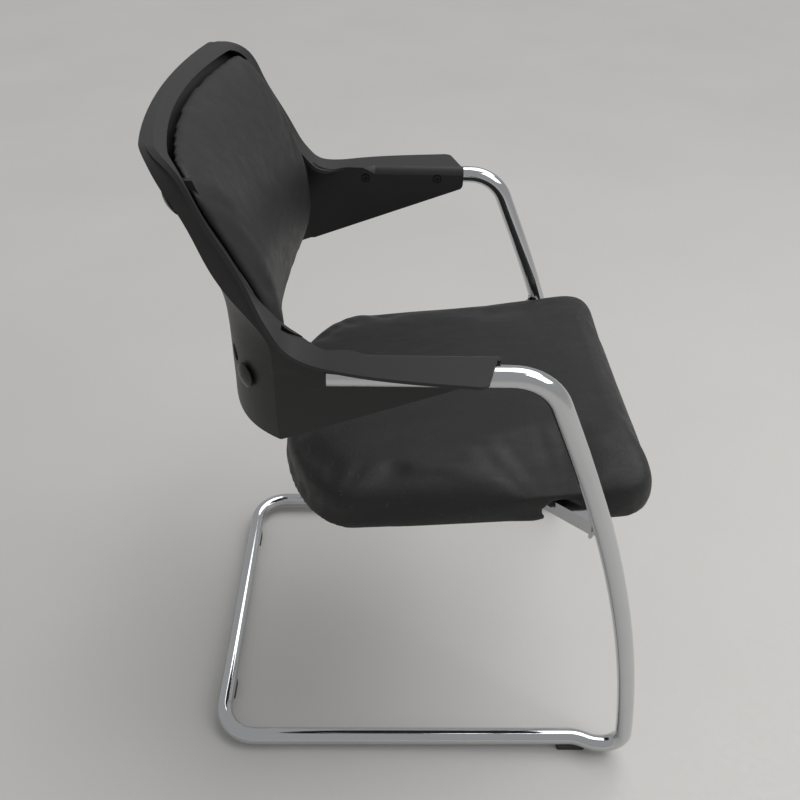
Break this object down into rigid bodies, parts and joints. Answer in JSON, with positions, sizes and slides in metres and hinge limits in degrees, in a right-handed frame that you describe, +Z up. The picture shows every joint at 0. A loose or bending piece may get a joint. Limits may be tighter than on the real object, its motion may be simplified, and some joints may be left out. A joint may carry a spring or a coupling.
{
  "type": "cantilever armchair",
  "caption": "Stackless cantilever visitor chair with a bent tube frame, upholstered seat and curved back, and a moulded back shell that runs forward into slim arms.",
  "frame": {"origin": "centre of the bounding box in plan, at the floor", "axes": "+Z up, -Y is the chair's front, +X is across, towards the right-hand side seen from the front"},
  "size_m": [0.5628, 0.577, 0.8262],
  "materials": {
    "chrome_tube": "polished chrome plate",
    "zinc_steel": "zinc plated, dull",
    "black_plastic": "fine satin texture",
    "glide_plastic": "smooth, matt",
    "black_leather": "fine grain, soft sheen",
    "foam": "open cell foam",
    "plywood": "raw pressed ply",
    "black_steel": "black oxide"
  },
  "bodies": {
    "root": {"frame_tube": "chrome_tube", "seat_cross_bar": "chrome_tube", "bracket_plate_left": "chrome_tube", "bracket_plate_right": "chrome_tube", "tube_end_cap_left": "black_plastic", "tube_end_cap_right": "black_plastic", "seat_rail_left": "zinc_steel", "seat_rail_right": "zinc_steel", "seat_board": "plywood", "seat_bottom_cover": "black_plastic", "seat_t_nuts": "zinc_steel", "seat_washers": "zinc_steel", "seat_bolts": "zinc_steel", "bottom_cover_screws": "zinc_steel", "seat_leather": "black_leather", "seat_foam": "foam", "back_arm_shell": "black_plastic", "back_pad_board": "plywood", "back_pad_foam": "foam", "back_pad_leather": "black_leather", "back_bolts": "zinc_steel", "back_inserts": "zinc_steel", "back_caps": "black_plastic", "arm_bolts_left": "black_steel", "arm_bolts_right": "black_steel", "arm_rivet_nuts_left": "zinc_steel", "arm_rivet_nuts_right": "zinc_steel", "front_glide_left": "glide_plastic", "front_glide_right": "glide_plastic", "rear_glide_left": "glide_plastic", "rear_glide_right": "glide_plastic", "glide_pins": "glide_plastic"}
  },
  "joints": []
}
